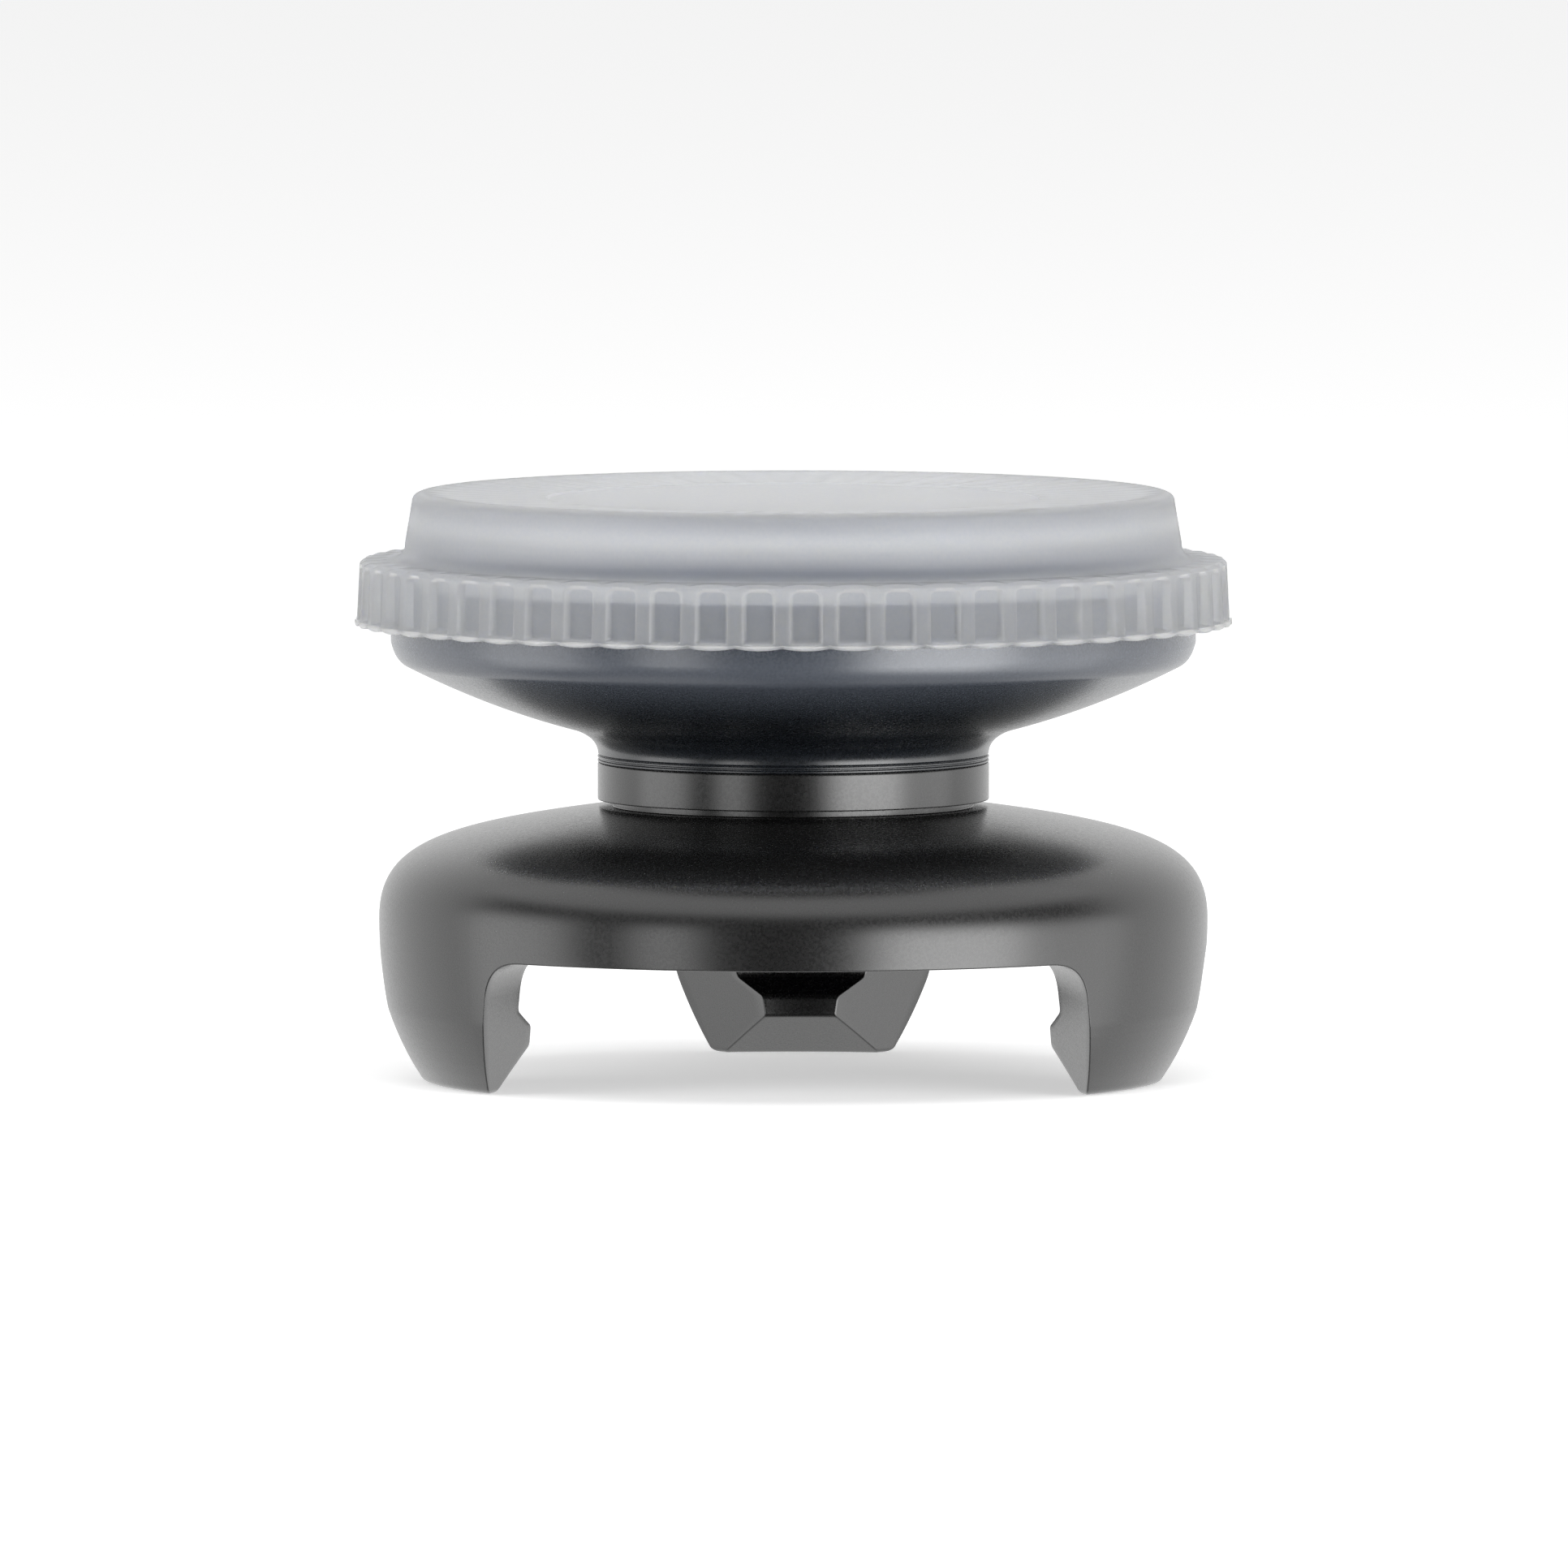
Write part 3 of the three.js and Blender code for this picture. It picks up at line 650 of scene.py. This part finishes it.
for piece, node, slotName, material in (
    (clipBase, "clip_base", "satin_black_plastic", satinBlack),
    (pedestal, "pedestal", "smoky_plastic", smokyBlack),
    (gripCap, "grip_cap", "frosted_cap", frosted),
):
    piece.data.materials.append(material)
    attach(piece, "root")
    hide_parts(node)
print("materials set")

studio = {
    "floor": "#f4f4f4",
    "floorHalf": 3, "floorDrop": 1e-5,  # metres
    "floorLift": 0.5,  # added to what the camera sees of the floor, for a white background
    "world": 0.5,  # light from all round
    "lamps": [  # name, azimuth, elevation, distance, width and height in mm, brightness
        ("rightSoftbox", 48, 14, 330, 230, 130, 4.0),
        ("leftSoftbox", -62, 14, 330, 220, 130, 3.4),
        ("overheadSoftbox", 0, 68, 360, 420, 260, 1.5),
    ],
    # What a gloss mirrors: soft boxes by azimuth, half width and soft edge, then elevation,
    # half height and soft edge, all in degrees, and brightness
    "boxes": [
        (47, 14, 20, -14, 18, 14, 6.8),
        (88, 12, 20, -14, 18, 14, 2.8),
        (-35, 5, 10, -9, 18, 12, 3.0),
        (-83, 12, 16, -9, 18, 14, 3.0),
        (0, 110, 30, 49, 12, 12, 1.8),
        (85, 40, 30, -56, 16, 14, 0.9),
        (-85, 40, 30, -68, 12, 14, 0.9),
    ],
    "roomFront": 0.07, "roomBehind": 1.5,
    "roomTurn": (-0.1, 0.4),  # depth of a direction where the front gives way to the back
    "lampAim": 7,  # mm above the floor
    "lampPower": 4,  # watts for a lamp of 1 square metre and brightness 1
}


def makeFloor():
    # Pale paper, lifted to white for the eye. It is open from below and to mirrored rays,
    # which meet the soft boxes instead.
    mesh = bpy.data.meshes.new("floor")
    half, drop = studio["floorHalf"], -studio["floorDrop"]
    corners = [(-half, -half, drop), (half, -half, drop), (half, half, drop), (-half, half, drop)]
    mesh.from_pydata(corners, [], [(0, 1, 2, 3)])
    floor = bpy.data.objects.new("floor", mesh)
    bpy.context.scene.collection.objects.link(floor)
    material, tree = newMaterial("paperFloor")
    path = addNode(tree, "ShaderNodeLightPath")
    seen = addNode(tree, "ShaderNodeMath", {"operation": "MAXIMUM"},
                   i0=path.outputs["Is Camera Ray"], i1=path.outputs["Is Transmission Ray"])
    lift = addNode(tree, "ShaderNodeMath", {"operation": "MULTIPLY", 1: studio["floorLift"]},
                   i0=seen.outputs[0])
    paper = addNode(tree, "ShaderNodeBsdfDiffuse", {"Color": linear(studio["floor"])})
    glow = addNode(tree, "ShaderNodeEmission", Strength=lift.outputs[0])
    both = addNode(tree, "ShaderNodeAddShader", i0=paper.outputs[0], i1=glow.outputs[0])
    below = addNode(tree, "ShaderNodeNewGeometry")
    opened = addNode(tree, "ShaderNodeMath", {"operation": "MAXIMUM"},
                     i0=below.outputs["Backfacing"], i1=path.outputs["Is Glossy Ray"])
    clear = addNode(tree, "ShaderNodeBsdfTransparent")
    surface = addNode(tree, "ShaderNodeMixShader",
                      i0=opened.outputs[0], i1=both.outputs[0], i2=clear.outputs[0])
    addNode(tree, "ShaderNodeOutputMaterial", Surface=surface.outputs[0])
    mesh.materials.append(material)


def makeLamps():
    for name, azimuth, elevation, distance, width, height, brightness in studio["lamps"]:
        a, e = math.radians(azimuth), math.radians(elevation)
        back = Vector((math.sin(a) * math.cos(e), -math.cos(a) * math.cos(e), math.sin(e)))
        data = bpy.data.lights.new(name, "AREA")
        data.shape = "RECTANGLE"
        data.size, data.size_y = width * mm, height * mm
        data.energy = brightness * data.size * data.size_y * studio["lampPower"]
        lamp = bpy.data.objects.new(name, data)
        bpy.context.scene.collection.objects.link(lamp)
        lamp.location = Vector((0, 0, studio["lampAim"] * mm)) + back * distance * mm
        lamp.rotation_euler = (-back).to_track_quat("-Z", "Y").to_euler()
        lamp.visible_camera = lamp.visible_glossy = False


def softBand(tree, value, centre, half, soft):
    # 1 within half of the centre, falling smoothly to 0 over the soft edge
    apart = addNode(tree, "ShaderNodeMath", {"operation": "SUBTRACT", 1: centre}, i0=value)
    apart = addNode(tree, "ShaderNodeMath", {"operation": "ABSOLUTE"}, i0=apart.outputs[0])
    span = {"From Min": half + soft, "From Max": half, "interpolation_type": "SMOOTHSTEP"}
    band = addNode(tree, "ShaderNodeMapRange", span, Value=apart.outputs[0])
    return band.outputs["Result"]


def makeWorld():
    # White to the eye and behind the grip; in front a dark room with soft boxes in it
    world = bpy.data.worlds.new("studio")
    bpy.context.scene.world = world
    world.use_nodes = True
    tree = world.node_tree
    tree.nodes.clear()
    coord = addNode(tree, "ShaderNodeTexCoord")
    axes = addNode(tree, "ShaderNodeSeparateXYZ", i0=coord.outputs["Generated"])
    front = addNode(tree, "ShaderNodeMath", {"operation": "MULTIPLY", 1: -1}, i0=axes.outputs["Y"])
    azimuth = addNode(tree, "ShaderNodeMath", {"operation": "ARCTAN2"},
                      i0=axes.outputs["X"], i1=front.outputs[0])
    azimuth = addNode(tree, "ShaderNodeMath", {"operation": "DEGREES"}, i0=azimuth.outputs[0])
    elevation = addNode(tree, "ShaderNodeMath", {"operation": "ARCSINE"}, i0=axes.outputs["Z"])
    elevation = addNode(tree, "ShaderNodeMath", {"operation": "DEGREES"}, i0=elevation.outputs[0])
    span = {"From Min": studio["roomTurn"][0], "From Max": studio["roomTurn"][1],
            "To Min": studio["roomFront"], "To Max": studio["roomBehind"], "interpolation_type": "SMOOTHSTEP"}
    level = addNode(tree, "ShaderNodeMapRange", span, Value=axes.outputs["Y"])
    for side, halfWidth, softSide, up, halfHeight, softUp, brightness in studio["boxes"]:
        across = softBand(tree, azimuth.outputs[0], side, halfWidth, softSide)
        along = softBand(tree, elevation.outputs[0], up, halfHeight, softUp)
        box = addNode(tree, "ShaderNodeMath", {"operation": "MULTIPLY"}, i0=across, i1=along)
        box = addNode(tree, "ShaderNodeMath", {"operation": "MULTIPLY", 1: brightness}, i0=box.outputs[0])
        level = addNode(tree, "ShaderNodeMath", {"operation": "MAXIMUM"},
                        i0=level.outputs[0], i1=box.outputs[0])
    path = addNode(tree, "ShaderNodeLightPath")
    seen = addNode(tree, "ShaderNodeMath", {"operation": "MAXIMUM"},
                   i0=path.outputs["Is Camera Ray"], i1=path.outputs["Is Transmission Ray"])
    glossy = addNode(tree, "ShaderNodeMix", {"data_type": "FLOAT", 2: studio["world"]},
                     i0=path.outputs["Is Glossy Ray"], i3=level.outputs[0])
    strength = addNode(tree, "ShaderNodeMix", {"data_type": "FLOAT", 3: 1.0},
                       i0=seen.outputs[0], i2=glossy.outputs[0])
    back = addNode(tree, "ShaderNodeBackground", Strength=strength.outputs[0])
    addNode(tree, "ShaderNodeOutputWorld", Surface=back.outputs[0])


makeFloor()
makeLamps()
makeWorld()
bpy.context.scene.view_settings.view_transform = "Standard"
print("studio set")
